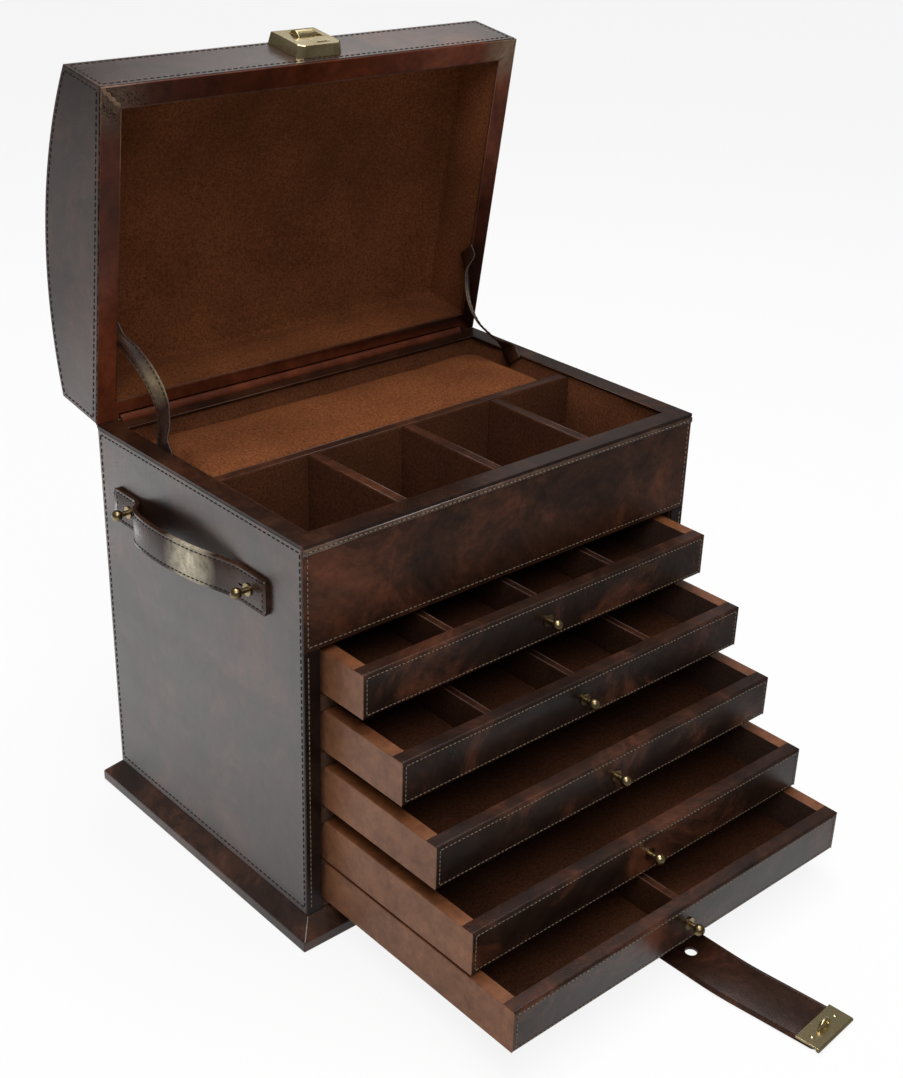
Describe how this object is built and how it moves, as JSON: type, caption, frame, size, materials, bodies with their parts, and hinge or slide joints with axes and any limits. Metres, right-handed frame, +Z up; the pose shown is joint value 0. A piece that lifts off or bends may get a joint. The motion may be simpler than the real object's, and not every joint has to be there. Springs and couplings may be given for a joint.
{
  "type": "jewellery case",
  "caption": "Trunk-style leather jewellery case with a domed hinged lid, a lined tray, pull-out drawers, side handles and a closing strap.",
  "frame": {"origin": "centre of the plinth's underside", "axes": "+Z up, -Y towards the front where the drawers open, +X to the right seen from the front"},
  "size_m": [0.3712, 0.5643, 0.5305],
  "materials": {
    "dark_leather": "semi-gloss",
    "trim_leather": "satin",
    "side_leather": "satin",
    "suede": "matte",
    "brass": "antique",
    "steel": "satin",
    "board": "matte"
  },
  "bodies": {
    "case": {"plinth": "dark_leather", "side_panel_left": "dark_leather", "side_panel_right": "dark_leather", "back_panel": "dark_leather", "upper_front_panel": "dark_leather", "upper_front_facing": "dark_leather", "stile_facings": "dark_leather", "drawer_shelves": "board", "floor_runners": "board", "tray_floor": "board", "tray_rim": "trim_leather", "tray_lining": "suede", "tray_long_divider": "trim_leather", "tray_cross_dividers": "trim_leather", "tray_pad": "suede", "hinge_leaf_case": "steel", "hinge_pin": "steel", "hinge_cover": "trim_leather", "handle_left": "dark_leather", "handle_right": "dark_leather", "handle_studs": "brass", "strap_root": "dark_leather", "stay_left": "dark_leather", "stay_right": "dark_leather"},
    "lid": {"lid_front_wall": "dark_leather", "lid_back_wall": "dark_leather", "lid_end_left": "dark_leather", "lid_end_right": "dark_leather", "lid_dome": "dark_leather", "lid_rim": "trim_leather", "lid_lining": "suede", "hinge_leaf_lid": "steel", "lock_body": "brass"},
    "lock_slide": {"lock_button": "brass"},
    "strap_end": {"strap_free": "dark_leather", "hasp_plate": "brass", "hasp_staple": "brass"},
    "drawer_1": {"drawer_1_front": "dark_leather", "drawer_1_box": "side_leather", "drawer_1_floor": "suede", "drawer_1_knob": "brass", "drawer_1_dividers": "side_leather"},
    "drawer_2": {"drawer_2_front": "dark_leather", "drawer_2_box": "side_leather", "drawer_2_floor": "suede", "drawer_2_knob": "brass", "drawer_2_dividers": "side_leather"},
    "drawer_3": {"drawer_3_front": "dark_leather", "drawer_3_box": "side_leather", "drawer_3_floor": "suede", "drawer_3_knob": "brass"},
    "drawer_4": {"drawer_4_front": "dark_leather", "drawer_4_box": "side_leather", "drawer_4_floor": "suede", "drawer_4_knob": "brass"},
    "drawer_5": {"drawer_5_front": "dark_leather", "drawer_5_box": "side_leather", "drawer_5_floor": "suede", "drawer_5_knob": "brass", "drawer_5_dividers": "side_leather"}
  },
  "joints": [
    {"name": "lid_hinge", "type": "hinge", "parent": "case", "child": "lid", "pos_m": [0, 0.115, 0.2868], "axis": [1, 0, 0], "range_deg": [0, 81.2], "deforming": ["stay_left", "stay_right"]},
    {"name": "lock_thumb", "type": "slide", "parent": "lid", "child": "lock_slide", "axis": [1, 0, 0], "range_m": [0, 0.005]},
    {"name": "strap_lift", "type": "hinge", "parent": "case", "child": "strap_end", "pos_m": [0.01686, -0.30776, 0.0009], "axis": [-0.9962, -0.0872, 0], "range_deg": [0, 90]},
    {"name": "drawer_1_slide", "type": "slide", "parent": "case", "child": "drawer_1", "axis": [0, -1, 0], "range_m": [-0.0356, 0.1404]},
    {"name": "drawer_2_slide", "type": "slide", "parent": "case", "child": "drawer_2", "axis": [0, -1, 0], "range_m": [-0.0727, 0.1033]},
    {"name": "drawer_3_slide", "type": "slide", "parent": "case", "child": "drawer_3", "axis": [0, -1, 0], "range_m": [-0.1048, 0.0712]},
    {"name": "drawer_4_slide", "type": "slide", "parent": "case", "child": "drawer_4", "axis": [0, -1, 0], "range_m": [-0.1385, 0.0375]},
    {"name": "drawer_5_slide", "type": "slide", "parent": "case", "child": "drawer_5", "axis": [0, -1, 0], "range_m": [-0.1759, 0.0001]}
  ]
}
